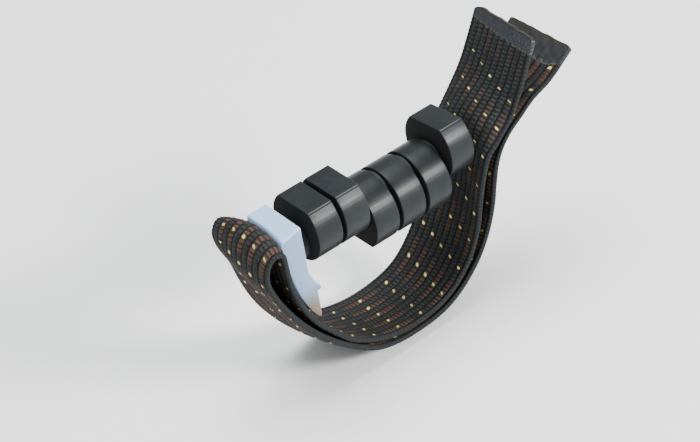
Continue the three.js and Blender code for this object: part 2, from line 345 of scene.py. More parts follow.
def cam_outline():
    """The cam with its flat up, seen from +X: (y, z) points about its bore and their normals."""

    def radius(a):
        """At an angle from the flat's middle."""
        past = math.degrees(a) - CREASE_DEG
        proud = SHOULDER * max(0.0, 1 - past / SHOULDER_DEG) ** 2
        line = GROOVE * math.exp(-((past - GROOVE_DEG) / GROOVE_WIDTH_DEG) ** 2)
        return CAM_R + proud - line

    half = math.acos(CAM_FLAT / (CAM_R + SHOULDER))
    loop = []
    for k in range(ROUND_POINTS):
        a = half + (2 * math.pi - 2 * half) * k / (ROUND_POINTS - 1)
        r = radius(min(a, 2 * math.pi - a))
        loop.append((r * math.sin(a), CAM_OFFSET + r * math.cos(a)))
    left, right = loop[-1], loop[0]
    for k in range(1, FLAT_POINTS):
        loop.append((left[0] + (right[0] - left[0]) * k / FLAT_POINTS, CAM_OFFSET + CAM_FLAT))
    fine = resample(np.array(loop), FINE_POINTS)
    spacing = perimeter(fine) / FINE_POINTS
    width = int(CREASE_SOFT / spacing) | 1
    soft = sum(np.roll(fine, k, axis=0) for k in range(-(width // 2), width // 2 + 1)) / width
    along = np.roll(soft, -1, 0) - np.roll(soft, 1, 0)
    along /= np.linalg.norm(along, axis=1)[:, None]
    outward = np.stack([-along[:, 1], along[:, 0]], 1)
    # few points on the even parts, many at the two creases
    creases = [np.linalg.norm(soft - np.array(c), axis=1).argmin() for c in (right, left)]
    steps = np.arange(FINE_POINTS)
    gaps = [np.minimum((steps - c) % FINE_POINTS, (c - steps) % FINE_POINTS) for c in creases]
    even = np.clip((np.min(gaps, axis=0) * spacing - CREASE_REACH) / CREASE_FADE, 0, 1)
    density = 1 / (CREASE_STRIDE + (EVEN_STRIDE - CREASE_STRIDE) * even)
    at = np.concatenate([[0], np.cumsum(density)])
    pick = np.searchsorted(at, np.linspace(0, at[-1], int(at[-1]), endpoint=False))
    pick = np.unique(np.minimum(pick, FINE_POINTS - 1))
    return soft[pick], outward[pick]


def perimeter(pts):
    """Length round a closed loop of points."""
    return float(np.linalg.norm(np.roll(pts, -1, 0) - pts, axis=1).sum())


def resample(pts, count):
    """The same closed loop with count evenly spaced points."""
    closed = np.vstack([pts, pts[:1]])
    gaps = np.linalg.norm(np.diff(closed, axis=0), axis=1)
    at = np.concatenate([[0], np.cumsum(gaps)])
    where = np.linspace(0, at[-1], count, endpoint=False)
    return np.stack([np.interp(where, at, closed[:, i]) for i in (0, 1)], 1)


def make_cam(index, material):
    """A cam at its rest turn, as rings of points: cut faces, rounded edges, round and bore."""
    turn = math.radians(CAM_TURN[index])
    x0 = CAM_ROW_X + (index - (CAM_COUNT - 1) / 2) * CAM_PITCH
    outline, outward = cam_outline()
    count = len(outline)
    bore = outline / np.linalg.norm(outline, axis=1)[:, None] * CAM_BORE_R
    halfway = bore * 0.5 + (outline - outward * EDGE) * 0.5
    rim = [(CAM_HALF - EDGE * (1 - math.sin(a)), EDGE * (1 - math.cos(a)))
           for a in np.linspace(0, math.pi / 2, EDGE_RINGS)]
    rings = [(-CAM_HALF, bore * BORE_FLARE), (-CAM_HALF, halfway)]
    rings += [(-x, outline - outward * inset) for x, inset in rim[::-1]]
    rings += [(-ROUND_RING, outline), (ROUND_RING, outline)]
    rings += [(x, outline - outward * inset) for x, inset in rim]
    rings += [(-x, pts) for x, pts in rings[1::-1]]
    rings += [(CAM_HALF - BORE_FLARE_DEPTH, bore), (BORE_FLARE_DEPTH - CAM_HALF, bore)]
    c, s = math.cos(turn), math.sin(turn)
    verts = []
    for x, pts in rings:
        y, z = pts[:, 0], pts[:, 1]
        verts.append(np.stack([np.full(count, x0 + x), y * c - z * s, ROD_Z + y * s + z * c], 1))
    name = f"cam_{index + 1}"
    faces = ring_faces(len(rings), count)
    verts = np.concatenate(verts)
    flip_outward(add_piece(name, verts, faces, material, "cam_rubber", name, 28))


for i, shade in enumerate(CAM_SHADES):
    make_cam(i, rubber(f"rubber_{i + 1}", shade))


# ------------------------------------------------------------ turned pieces

SPACER_HALF, SPACER_R = 0.45, 4.9
ROD = [
    (-34.8, 0), (-34.8, 1.6), (-26.2, 1.6), (-26.2, 2.5),
    (26.2, 2.5), (26.2, 1.6), (35.0, 1.6), (35.0, 0),
]
NEAR_CAP = [
    (-35.3, 0), (-35.2, 1.2), (-34.85, 2.2), (-34.3, 2.85),
    (-33.9, 2.9), (-33.9, 1.75), (-34.95, 1.75), (-34.95, 0),
]
FAR_BUTTON = [
    (35.15, 0), (35.15, 1.75), (33.8, 1.75), (33.8, 2.75),
    (34.3, 2.8), (35.1, 2.35), (35.65, 1.4), (35.8, 0),
]
STEEL = (steel("satin_steel"), "hardware_steel")
BLACK = (black_plastic("spacer_black"), "spacer_plastic")


def ring(node, low, high, radius, bore, look):
    """A washer, spacer or collar from x = low to x = high."""
    turned(node, [(low, bore), (high, bore), (high, radius), (low, radius)], look)


turned("rod", ROD, STEEL, 0.15)
for i in range(CAM_COUNT - 1):
    x = CAM_ROW_X + (i - (CAM_COUNT - 2) / 2) * CAM_PITCH
    ring(f"spacer_{i + 1}", x - SPACER_HALF, x + SPACER_HALF, SPACER_R, CAM_BORE_R, BLACK)
ring("near_end_washer", -24.86, -22.44, 4.6, CAM_BORE_R, BLACK)
ring("far_end_washer", 24.04, 24.86, 4.6, CAM_BORE_R, BLACK)
ring("far_collar", 25.1, 26.1, 3.3, CAM_BORE_R, STEEL)
ring("near_strap_washer", -33.75, -33.3, 3.4, 1.8, STEEL)
turned("near_cap", NEAR_CAP, STEEL, 0.2)
turned("far_button", FAR_BUTTON, STEEL, 0.2)


# ----------------------------------------------------------------- bracket

# Its section, as (distance from the rod's middle, height), and the radius of each corner.
BRACKET = [
    (25.0, 18.65), (30.0, 18.5), (30.7, 15.8), (30.4, 13.5), (30.1, 9.5), (29.6, 6.6), (29.0, 3.8),
    (28.2, 0.8), (27.2, -2.1), (26.0, -4.8), (24.6, -6.9), (23.8, -7.25), (23.5, -6.6), (23.5, 0.0),
    (22.4, 0.0), (22.4, 0.75), (24.1, 3.4), (24.95, 6.0),
]
BRACKET_RADII = [0.3, 0.7, 0.8, 3, 3, 3, 3, 3, 3, 3, 1, 0.5, 0.4, 0.25, 0.2, 0.2, 0.8, 1.0]
BRACKET_HALF = 6.3  # half its length along the neck
BRACKET_EDGE = 0.45  # radius of the edges of its two ends
END_SHRINK = 0.8  # how far the section draws in there, as a share of that radius
END_RINGS, MIDDLE_RINGS = 7, 8  # of the mesh, on each edge and between the two
MIDDLE_FROM = 1.4  # from an end to the nearest ring between
SECTION_POINTS = 260
TOP_FROM, TOP_RISE = 13.6, 4.6  # height at which the top starts to change, and over how much
TOP_INNER, TOP_DEPTH = 25, 5.2  # where the top starts, outward from the rod's middle, and its depth
# How far the top's corners stand above the section, inner and outer, at its two ends.
TOP_LIFT_NEAR = (0.0, -1.1)
TOP_LIFT_FAR = (0.5, 0.7)
TOP_REACH_NEAR, TOP_REACH_FAR = 0.6, 0.45  # how far its outer corners stand out


def shape_top(out, y, z):
    """How far the bracket's top stands out from and above its plain section."""
    rise = np.clip((z - TOP_FROM) / TOP_RISE, 0, 1)
    rise = rise * rise * (3 - 2 * rise)
    out = np.clip((out - TOP_INNER) / TOP_DEPTH, 0, 1)
    along = (y + BRACKET_HALF) / (2 * BRACKET_HALF)
    near, far = (a + (b - a) * out for a, b in (TOP_LIFT_NEAR, TOP_LIFT_FAR))
    side = 2 * along - 1
    reach = out * (-side * TOP_REACH_NEAR if side < 0 else side * TOP_REACH_FAR)
    return np.stack([rise * reach, rise * (near + (far - near) * along)], 1)


def make_bracket():
    """The section drawn out along the neck, its end edges rounded and its top shaped."""
    section = rounded(BRACKET, BRACKET_RADII, steps=4)
    section = resample(np.array(section), SECTION_POINTS)
    edge = [(-BRACKET_HALF + BRACKET_EDGE * (1 - math.cos(a)), BRACKET_EDGE * (1 - math.sin(a)))
            for a in np.linspace(0, math.pi / 2, END_RINGS)]
    end = BRACKET_HALF - MIDDLE_FROM
    ys = edge + [(y, 0.0) for y in np.linspace(-end, end, MIDDLE_RINGS)]
    ys += [(-y, inset) for y, inset in edge[::-1]]
    tangent = np.roll(section, -1, 0) - np.roll(section, 1, 0)
    tangent /= np.linalg.norm(tangent, axis=1)[:, None]
    inward = np.stack([tangent[:, 1], -tangent[:, 0]], 1)
    verts, count = [], len(section)
    for y, inset in ys:
        pts = section + inward * inset * END_SHRINK
        pts += shape_top(pts[:, 0], y, pts[:, 1])
        verts.append(np.stack([-pts[:, 0], np.full(count, y), pts[:, 1]], 1))
    faces = ring_faces(len(ys), count, closed=False)
    verts = np.concatenate(verts)
    last = (len(ys) - 1) * count
    faces.append(tuple(range(count))[::-1])
    faces.append(tuple(last + i for i in range(count)))
    nylon_look = nylon("milky_nylon")
    flip_outward(add_piece("near_bracket", verts, faces, nylon_look, "bracket_nylon", sharp=40))


make_bracket()


# ------------------------------------------------------------------- strap

STRAP_LOW_Y, STRAP_HIGH_Y = -9.25, 12.25
STRAP_WIDTH = STRAP_HIGH_Y - STRAP_LOW_Y
# The webbing's middle from one free end to the other, as x, z pairs in three planes:
# at its low edge, at the rod (y = 0) and at its high edge.
STRAP_PATH = [
    (44.3, 33.3, 44.8, 33.8, 45.8, 34.0), (41.4, 27.6, 41.4, 27.4, 42.4, 27.6),
    (38.3, 21.6, 37.8, 21.8, 38.9, 21.6), (35.0, 16.4, 33.4, 18.2, 34.8, 16.4),
    (30.8, 12.5, 29.8, 14.8, 31.2, 12.5), (26.9, 9.4, 28.5, 10.4, 27.6, 9.4),
    (24.8, 5.1, 26.6, 5.2, 25.0, 5.1), (23.0, -0.5, 25.2, -0.2, 23.4, -0.5),
    (21.2, -8.0, 21.8, -8.0, 21.6, -8.0), (16.9, -15.6, 17.0, -15.7, 17.2, -15.8),
    (9.5, -21.1, 9.7, -21.6, 10.0, -22.3), (0.0, -22.7, 0.0, -23.6, 0.0, -24.5),
    (-9.5, -21.2, -9.9, -22.3, -10.4, -23.4), (-17.8, -16.5, -19.0, -17.8, -20.1, -19.0),
    (-22.5, -11.3, -23.8, -12.2, -24.8, -12.9), (-27.0, -5.4, -27.4, -5.8, -27.8, -6.1),
    (-30.2, 1.4, -30.1, 1.4, -29.8, 1.4), (-31.7, 7.2, -31.5, 7.4, -31.0, 7.2),
    (-32.1, 12.0, -32.1, 12.6, -31.3, 11.8), (-32.2, 14.4, -32.2, 15.4, -32.0, 14.2),
    (-32.7, 16.4, -31.5, 18.1, -33.2, 16.5), (-34.5, 17.0, -33.4, 19.4, -34.9, 16.9),
    (-36.5, 15.6, -36.2, 17.8, -36.2, 14.9), (-37.5, 11.8, -37.6, 12.6, -35.6, 11.1),
    (-36.1, 6.4, -35.4, 5.8, -33.4, 5.5), (-33.4, 0.5, -32.4, -0.5, -31.9, -0.8),
    (-30.3, -4.7, -29.7, -6.4, -29.8, -7.2), (-25.8, -10.6, -26.4, -12.5, -26.6, -13.6),
    (-18.9, -17.6, -20.4, -19.3, -21.5, -20.6), (-10.3, -23.4, -11.0, -24.8, -11.8, -25.9),
    (0.0, -24.9, 0.0, -26.1, 0.0, -26.9), (10.4, -23.3, 11.0, -24.4, 11.8, -25.1),
    (18.7, -17.6, 19.6, -18.0, 20.8, -18.8), (23.6, -11.0, 24.3, -11.0, 25.2, -11.2),
    (26.5, -3.9, 27.4, -3.9, 27.8, -3.9), (27.9, 1.8, 28.5, 1.8, 29.2, 1.8),
    (29.3, 6.6, 29.7, 6.6, 30.6, 6.6), (31.2, 9.9, 30.9, 10.6, 32.6, 9.9),
    (33.9, 12.7, 32.4, 13.8, 35.4, 12.6), (38.0, 15.5, 36.4, 16.4, 39.6, 15.4),
    (42.1, 18.2, 41.4, 18.8, 43.8, 18.0), (47.5, 20.4, 47.6, 20.7, 49.0, 20.2),
    (55.2, 25.6, 55.4, 25.6, 56.0, 25.3),
]
STRAP_HALF_T = 0.74
SELVAGE = 0.66  # how far in from each side its round edge reaches
RIB_PITCH = 1.965  # from cord to cord
FIRST_RIB = 1.88  # the first bright cord, from the low edge
RIB_HEIGHT = 0.38  # of a cord above the grooves beside it
KNOT = 1.0  # length of one crosswise bump along a cord
KNOT_HEIGHT = 0.16
STEP = 0.25  # of the mesh, along the strap
COLUMNS = 40  # of the middle surface, across the strap
CORD_POINTS = 112  # of the mesh, across each face
EDGE_STEPS = 8  # of the mesh, round each edge
CURVE_STEPS = 14  # between two points of the path
WAVES, RIM_WAVES = 12, 5  # how many make up the random lumps, and each melted rim
MELTED_LENGTH, MELTED_FADE = 3.7, 1.0  # where the cords set in, and over what length they rise
MELTED_RAGGED = 0.5  # how far that line wanders
MELTED_SUNK, MELTED_LUMPS = 0.2, 0.06  # how far a melted face lies below the cords, and its lumps
FRONT_SLANT = 0.07  # how the front melted end narrows across the strap
BACK_EXTRA = 1.3  # how much longer the back melted end is
CORNERS = (2.2, 1.3)  # radius of the corners, at the front free end and at the back one
CORNER_SHARE = 0.9  # how much of the round corners is cut off
RIM_DEPTH = 0.08  # half the depth of the waves in the melted rims
END_REACH = 8.0  # how far in the mesh follows the shape of a free end
CORD_FULLNESS = 0.6  # the power that gives a cord its round back
EDGE_BUMP = 0.07  # height of the bumps on the round edges, as a share of the half thickness


def strap_lines(ys):
    """Middle line of the webbing at each y, resampled at even steps: array (along, y, xyz)."""
    a, b = STRAP_LOW_Y, STRAP_HIGH_Y
    table = np.array(STRAP_PATH)
    out = []
    for y in ys:
        low = y * (y - b) / (a * (a - b))
        mid = (y - a) * (y - b) / (a * b)
        high = y * (y - a) / (b * (b - a))
        pts = low * table[:, 0:2] + mid * table[:, 2:4] + high * table[:, 4:6]
        out.append(centripetal(pts, CURVE_STEPS))
    out = np.array(out)  # y, along, xz
    middle = out[len(ys) // 2]
    at = np.concatenate([[0], np.cumsum(np.linalg.norm(np.diff(middle, axis=0), axis=1))])
    length = at[-1]
    where = np.linspace(0, length, int(length / STEP) + 1)
    lines = np.empty((len(where), len(ys), 3))
    for j, y in enumerate(ys):
        lines[:, j, 0] = np.interp(where, at, out[j][:, 0])
        lines[:, j, 1] = y
        lines[:, j, 2] = np.interp(where, at, out[j][:, 1])
    return lines, where, length


def blend(p, q, low, high, s):
    """From p where s is low to q where s is high."""
    return (high - s) / (high - low) * p + (s - low) / (high - low) * q


def centripetal(pts, steps):
    """A centripetal Catmull-Rom curve through the points."""
    ext = np.vstack([2 * pts[0] - pts[1], pts, 2 * pts[-1] - pts[-2]])
    out = []
    for i in range(len(pts) - 1):
        p = ext[i:i + 4]
        t = [0.0]
        for k in range(3):
            t.append(t[-1] + np.linalg.norm(p[k + 1] - p[k]) ** 0.5)
        for s in np.linspace(t[1], t[2], steps, endpoint=False):
            a = [blend(p[k], p[k + 1], t[k], t[k + 1], s) for k in range(3)]
            b = [blend(a[k], a[k + 1], t[k], t[k + 2], s) for k in range(2)]
            out.append(blend(b[0], b[1], t[1], t[2], s))
    out.append(pts[-1])
    return np.array(out)


def make_strap(material):
    """The strap as one closed mesh with its cords and bumps; returns it and its length."""
    rng = np.random.default_rng(7)
    ys = STRAP_LOW_Y + np.linspace(0, STRAP_WIDTH, COLUMNS + 1)
    lines, where, length = strap_lines(ys)
    count = len(where)
    along = np.gradient(lines, axis=0)
    side = np.gradient(lines, axis=1)
    normal = np.cross(along, side)
    normal /= np.linalg.norm(normal, axis=2)[:, :, None]
    waves = rng.uniform(0.35, 2.2, (WAVES, 2)) * rng.choice([-1, 1], (WAVES, 2))
    shifts = rng.uniform(0, 2 * math.pi, WAVES)
    rims = rng.uniform(0.5, 2.4, (2, RIM_WAVES))

    def lumps(v):
        """A smooth random field along the strap at v, about -1 to 1."""
        return sum(np.sin(a * where + b * v + c) for (a, b), c in zip(waves, shifts)) / 3.5

    def pulled_in(v, end):
        """How much shorter the strap is at v, from its round corners and uneven melted rim."""
        corner = CORNERS[end]
        inside = min(v, STRAP_WIDTH - v)
        cut = corner - math.sqrt(max(0.0, corner ** 2 - max(0.0, corner - inside) ** 2))
        wave = sum(math.sin(w * v + 7 * w) for w in rims[end]) / 2.5
        return CORNER_SHARE * cut + RIM_DEPTH * (1 + wave)

    def along_at(v):
        """Where each step of the grid lies along the strap at v."""
        near = pulled_in(v, 0) * np.clip(1 - where / END_REACH, 0, 1) ** 2
        far = pulled_in(v, 1) * np.clip(1 - (length - where) / END_REACH, 0, 1) ** 2
        return where + near - far

    def at(v, s):
        """Middle surface and normal at distance v from the low edge and s from the first end."""
        k = np.clip(v / STRAP_WIDTH * COLUMNS, 0, COLUMNS)
        i = int(min(COLUMNS - 1, math.floor(k)))
        f = k - i
        mid = lines[:, i] * (1 - f) + lines[:, i + 1] * f
        n = normal[:, i] * (1 - f) + normal[:, i + 1] * f
        return (np.stack([np.interp(s, where, mid[:, c]) for c in range(3)], 1),
                np.stack([np.interp(s, where, n[:, c]) for c in range(3)], 1))

    rows, uv, kinds = [], [], []

    def row(v, height, edge=0.0, face=0.0):
        """Adds the line of points at v, this high above the middle surface."""
        s = along_at(v)
        mid, n = at(v, s)
        rows.append(mid + n * height[:, None])
        uv.append(np.stack([s, np.full(count, v)], 1))
        kinds.append((face, edge))

    def woven_part(v, s):
        """1 on the woven strap, 0 on the melted ends."""
        ends = np.minimum(s + FRONT_SLANT * v, length - s - BACK_EXTRA)
        past = ends - MELTED_LENGTH + MELTED_RAGGED * lumps(v)
        fade = np.clip(past / MELTED_FADE, 0, 1)
        return fade * fade * (3 - 2 * fade)

    def rib(v, face):
        """Height of the surface at v along the strap: cords and their bumps, or the melted ends."""
        s = along_at(v)
        phase = (v - FIRST_RIB) / RIB_PITCH
        wave = abs(math.cos(math.pi * phase)) ** CORD_FULLNESS
        beat = s / KNOT + 0.5 * (round(phase) % 2) + 0.25 * face
        knots = 0.5 + 0.5 * np.cos(2 * math.pi * beat)
        woven = STRAP_HALF_T - RIB_HEIGHT * (1 - wave) - KNOT_HEIGHT * knots * wave
        melted = STRAP_HALF_T - MELTED_SUNK + MELTED_LUMPS * lumps(0.9 * v + 11 * face)
        return melted + (woven - melted) * woven_part(v, s)

    def edge_round(a):
        """Height of the round edge's surface, with its own bumps."""
        bumps = 1 - EDGE_BUMP * np.cos(2 * math.pi * where / KNOT)
        return STRAP_HALF_T * math.cos(a) * bumps

    across = np.linspace(SELVAGE, STRAP_WIDTH - SELVAGE, CORD_POINTS)
    turns = [math.pi * k / EDGE_STEPS for k in range(1, EDGE_STEPS)]
    for v in across:
        row(v, rib(v, 0))
    for a in turns:
        row(STRAP_WIDTH - SELVAGE + SELVAGE * math.sin(a), edge_round(a), edge=1.0, face=0.5)
    for v in across[::-1]:
        row(v, -rib(v, 1), face=1.0)
    for a in turns:
        row(SELVAGE - SELVAGE * math.sin(a), -edge_round(a), edge=1.0, face=0.5)

    around = len(rows)
    verts = np.array(rows).transpose(1, 0, 2).reshape(-1, 3)
    faces = [(i + j, i + (j + 1) % around, i + around + (j + 1) % around, i + around + j)
             for i in range(0, (count - 1) * around, around) for j in range(around)]
    # the two ends: a strip of quads between the faces, and one face at each round edge
    half, turned_points = len(across), len(turns)
    for base, sign in ((0, 1), ((count - 1) * around, -1)):
        for j in range(half - 1):
            opposite = base + half + turned_points + (half - 1 - j)
            quad = (base + j, opposite, opposite - 1, base + j + 1)
            faces.append(quad[::sign])
        for start in (half - 1, 2 * half + turned_points - 1):
            edge_face = tuple(base + (start + k) % around for k in range(turned_points + 2))
            faces.append(edge_face[::-sign])
    obj = add_piece("elastic_strap", verts, faces, material, "strap_webbing", sharp=80)
    flip_outward(obj)
    mesh = obj.data
    weave = mesh.uv_layers.new(name="weave")
    kind = mesh.uv_layers.new(name="kind")
    index = np.empty(len(mesh.loops), np.int64)
    mesh.loops.foreach_get("vertex_index", index)
    i_along, j_around = index // around, index % around
    weave.data.foreach_set("uv", np.array(uv)[j_around, i_along].astype(np.float32).ravel())
    kind.data.foreach_set("uv", np.array(kinds)[j_around].astype(np.float32).ravel())
    return obj, length


# Rhythm of the weave, along the strap from its front free end.
FLOAT_PERIOD = 13.3  # from one brown float to the next on a cord
GLINT_PERIOD = 6.65  # from one gold glint to the next
WEAVE_START = 23.2  # a float's middle on the first bright cord
BACK_FACE_SHIFT = 7.9  # of the weave on the other face
STRETCH_FROM, STRETCH = 30.0, 0.8853  # beyond here it is stretched; slack over stretched length
WORN_FROM = 90.0  # beyond here it is fully worn
LEAN, WORN_LEAN, FAR_LEAN = 0.82, -0.7, 0.34  # shift from cord to cord, and its two changes
FOLD_FROM, FOLD_TO = 143.0, 146.0  # where the last change sets in, at the fold
BARE_FRONT, BARE_BACK = -10.0, 236.0  # no glints before, and few after
UNDER_NECK, UNDER_NECK_HALF = 195.0, 43.0  # half of the glints are worn off here
SEALED_IN, SEALED_OUT = 4.05, 4.35  # where the melted ends stop
# Colours, darkest first where there are several.
BLACK_CORD = ((0.005, 0.006, 0.006, 1), (0.036, 0.041, 0.040, 1))
BLACK_FADED = (0.020, 0.017, 0.0155, 1)
# painted shade: the next is between a cord's bumps, the one after it in the grooves between cords
BLACK_BUMP_SHADE = (0.004, 0.0045, 0.0048, 1)
BLACK_GROOVE_SHADE = (0.002, 0.002, 0.0024, 1)
BROWN = ((0.024, 0.0135, 0.0095, 1), (0.130, 0.071, 0.049, 1))
# painted shade between the bumps of the brown floats
BROWN_BUMP_SHADE = (0.012, 0.008, 0.007, 1)
OLIVE = (0.055, 0.044, 0.006, 1)
GOLD = (1.0, 0.84, 0.34, 1)
SELVAGE_BLACK = ((0.003, 0.0037, 0.004, 1), (0.026, 0.031, 0.033, 1))
# painted shade in the valleys between the round edges' bumps
SELVAGE_VALLEY_SHADE = (0.004, 0.0047, 0.005, 1)
MELTED = ((0.012, 0.0140, 0.017, 1), (0.029, 0.034, 0.040, 1))
MELTED_BACK = (0.006, 0.0075, 0.0085, 1)
FLECK = (0.10, 0.105, 0.107, 1)
MELTED_RIM = (0.075, 0.071, 0.062, 1)
TIP = (0.018, 0.015, 0.010, 1)


def webbing(name, total):
    """Black cords with crosswise ticks of painted shade between their bumps and painted shade in
    their grooves; every other cord has brown floats and gold glints.
    """
    n = Nodes(name)
    b = n.bsdf
    uv = n.add("UVMap", uv_map="weave").outputs[0]
    kind = n.add("UVMap", uv_map="kind").outputs[0]
    parts = n.add("SeparateXYZ")
    n.link(uv, parts.inputs[0])
    s, v = parts.outputs[0], parts.outputs[1]
    kinds = n.add("SeparateXYZ")
    n.link(kind, kinds.inputs[0])
    face, edge = kinds.outputs[0], kinds.outputs[1]

    # the cord a point lies on, and how far off the cord's middle: 0.5 is in a groove
    phase = n.math("DIVIDE", n.math("SUBTRACT", v, FIRST_RIB), RIB_PITCH)
    rib = n.math("ROUND", phase)
    off_signed = n.math("SUBTRACT", phase, rib)
    off = n.math("ABSOLUTE", off_signed)
    odd = n.math("PINGPONG", rib, 1.0)
    bright = n.math("LESS_THAN", odd, 0.5)
    worn = n.step(s, STRETCH_FROM, WORN_FROM)  # the loop is stretched, the front free end is slack
    lean = n.math("MULTIPLY_ADD", worn, WORN_LEAN, LEAN)
    lean = n.math("MULTIPLY_ADD", n.step(s, FOLD_FROM, FOLD_TO), FAR_LEAN, lean)
    loop = n.math("MAXIMUM", n.math("SUBTRACT", s, STRETCH_FROM), 0.0)
    t = n.math("ADD", n.math("MINIMUM", s, STRETCH_FROM), n.math("MULTIPLY", loop, STRETCH))
    t = n.math("ADD", t, n.math("MULTIPLY", rib, lean))
    t = n.math("ADD", t, n.math("MULTIPLY", n.math("SUBTRACT", 1.0, face), BACK_FACE_SHIFT))
    cord = n.add("CombineXYZ")
    n.put(cord.inputs[0], n.math("MULTIPLY", s, 0.07))
    n.put(cord.inputs[1], n.math("MULTIPLY", rib, 3.7))
    wander = n.math("SUBTRACT", n.noise(cord.outputs[0], 1.0, 2.0, 0.5), 0.5)
    t = n.math("SUBTRACT", n.math("MULTIPLY_ADD", wander, 1.3, t), WEAVE_START)

    def from_nearest(period):
        """How far along the cord a point is from the nearest of the places one period apart."""
        cell = n.math("DIVIDE", t, period)
        return n.math("MULTIPLY", n.math("SUBTRACT", cell, n.math("ROUND", cell)), period)

    # painted shade between the bumps of a cord; neighbouring cords are half a bump apart
    fuzz = n.noise(uv, 7.0, 3.0, 0.65)
    speck = n.noise(uv, 2.3, 2.0, 0.6)
    patch = n.noise(uv, 0.35, 2.0, 0.5)
    beat = n.math("MULTIPLY_ADD", face, 0.25, n.math("DIVIDE", s, KNOT))
    beat = n.math("MULTIPLY_ADD", odd, 0.5, beat)
    beat = n.math("MULTIPLY_ADD", speck, 0.5, beat)
    tick = n.math("COSINE", n.math("MULTIPLY", beat, 2 * math.pi))
    bump_shade = n.step(n.math("MULTIPLY_ADD", tick, -0.5, 0.5), 0.75, 0.1)

    # brown floats, every other glint apart
    float_half = n.math("MULTIPLY_ADD", worn, 0.9, 3.2)
    beyond = n.math("SUBTRACT", n.math("ABSOLUTE", from_nearest(FLOAT_PERIOD)), float_half)
    beyond = n.math("MULTIPLY_ADD", speck, 2.4, beyond)
    floats = n.math("MULTIPLY", n.step(beyond, 1.9, 0.5), n.step(off, 0.47, 0.30))
    floats = n.math("MULTIPLY", n.math("MULTIPLY", floats, bright), n.step(speck, 0.22, 0.45))
    faded = n.math("MULTIPLY_ADD", n.step(t, BARE_FRONT, BARE_FRONT + 2), 0.6, 0.4)
    floats = n.math("MULTIPLY", floats, faded)

    # gold glints, each with its own strength; none left next to the front end
    place = n.add("CombineXYZ")
    n.put(place.inputs[0], n.math("ROUND", n.math("DIVIDE", t, GLINT_PERIOD)))
    n.put(place.inputs[1], rib)
    n.put(place.inputs[2], n.math("ROUND", face))
    chance = n.add("TexWhiteNoise", noise_dimensions="3D")
    n.link(place.outputs[0], chance.inputs["Vector"])
    chance = chance.outputs["Value"]
    from_under = n.math("ABSOLUTE", n.math("SUBTRACT", s, UNDER_NECK))
    under = n.math("LESS_THAN", from_under, UNDER_NECK_HALF)
    worn_off = n.math("MULTIPLY", under, n.math("LESS_THAN", chance, 0.5))
    past_front = n.math("GREATER_THAN", t, BARE_FRONT)
    kept = n.math("MULTIPLY", n.math("SUBTRACT", 1.0, worn_off), past_front)
    at_back = n.math("GREATER_THAN", t, BARE_BACK)
    bare = n.math("MULTIPLY", at_back, n.math("GREATER_THAN", rib, 1.0))
    kept = n.math("MULTIPLY", kept, n.math("SUBTRACT", 1.0, bare))
    slant = n.math("MULTIPLY", off_signed, 0.5)
    from_glint = n.math("ADD", from_nearest(GLINT_PERIOD), slant)
    half_glint = n.math("MULTIPLY_ADD", worn, 0.14, 0.13)
    half_glint = n.math("MULTIPLY_ADD", chance, 0.12, half_glint)
    lengthwise = n.math("POWER", n.math("ABSOLUTE", n.math("DIVIDE", from_glint, half_glint)), 2.6)
    crosswise = n.math("POWER", n.math("DIVIDE", off, 0.25), 2.6)
    outside = n.math("ADD", lengthwise, crosswise)
    lit = n.math("MULTIPLY", bright, kept)
    glint = n.math("MULTIPLY", n.step(outside, 1.25, 0.55), lit)
    glint = n.math("MULTIPLY", glint, n.math("MULTIPLY_ADD", chance, 0.45, 0.5))
    olive = n.math("MULTIPLY", n.step(outside, 4.5, 1.0), lit)

    # the free ends are melted smooth, as far as a ragged line
    front_end = n.math("MULTIPLY_ADD", v, FRONT_SLANT, s)
    selvage_end = n.math("MULTIPLY", n.math("MAXIMUM", n.math("SUBTRACT", 4.0, v), 0.0), 0.45)
    back_end = n.math("ADD", n.math("SUBTRACT", total - BACK_EXTRA, s), selvage_end)
    ragged = n.math("MULTIPLY", n.math("SUBTRACT", n.noise(uv, 0.7, 3.0, 0.65), 0.5), 1.6)
    ragged = n.math("ADD", n.math("MINIMUM", front_end, back_end), ragged)
    sealed = n.step(ragged, SEALED_OUT, SEALED_IN)
    rim_outer = n.step(ragged, SEALED_OUT + 0.4, SEALED_OUT + 0.1)
    rim = n.math("MULTIPLY", rim_outer, n.step(ragged, SEALED_IN - 0.1, SEALED_OUT - 0.1))
    shown = n.math("MULTIPLY", n.math("SUBTRACT", 1.0, sealed), n.math("SUBTRACT", 1.0, edge))
    floats = n.math("MULTIPLY", floats, shown)
    glint = n.math("MULTIPLY", glint, shown)
    olive = n.math("MULTIPLY", olive, shown)

    # the cords, with floats and glints, and painted shade in the grooves between them
    groove = n.step(off, 0.28, 0.48)
    strands = n.math("MULTIPLY_ADD", speck, 0.6, n.math("MULTIPLY", fuzz, 0.4))
    black = n.mix(n.step(strands, 0.36, 0.62), *BLACK_CORD)
    black = n.mix(n.step(patch, 0.5, 0.7), black, BLACK_FADED)
    # painted shade between the bumps of the black cords
    black = n.mix(n.math("MULTIPLY", bump_shade, 0.6), black, BLACK_BUMP_SHADE)
    # painted shade in the grooves between cords
    colour = n.mix(n.math("MULTIPLY", groove, 0.9), black, BLACK_GROOVE_SHADE)
    brown = n.mix(fuzz, *BROWN)
    # painted shade between the bumps of the brown floats
    brown = n.mix(n.math("MULTIPLY", bump_shade, 0.8), brown, BROWN_BUMP_SHADE)
    brown = n.mix(n.math("MULTIPLY", n.math("SUBTRACT", 1.0, worn), 0.5), brown, black)
    colour = n.mix(floats, colour, brown)
    colour = n.mix(n.math("MULTIPLY", olive, 0.7), colour, OLIVE)
    colour = n.mix(glint, colour, GOLD)
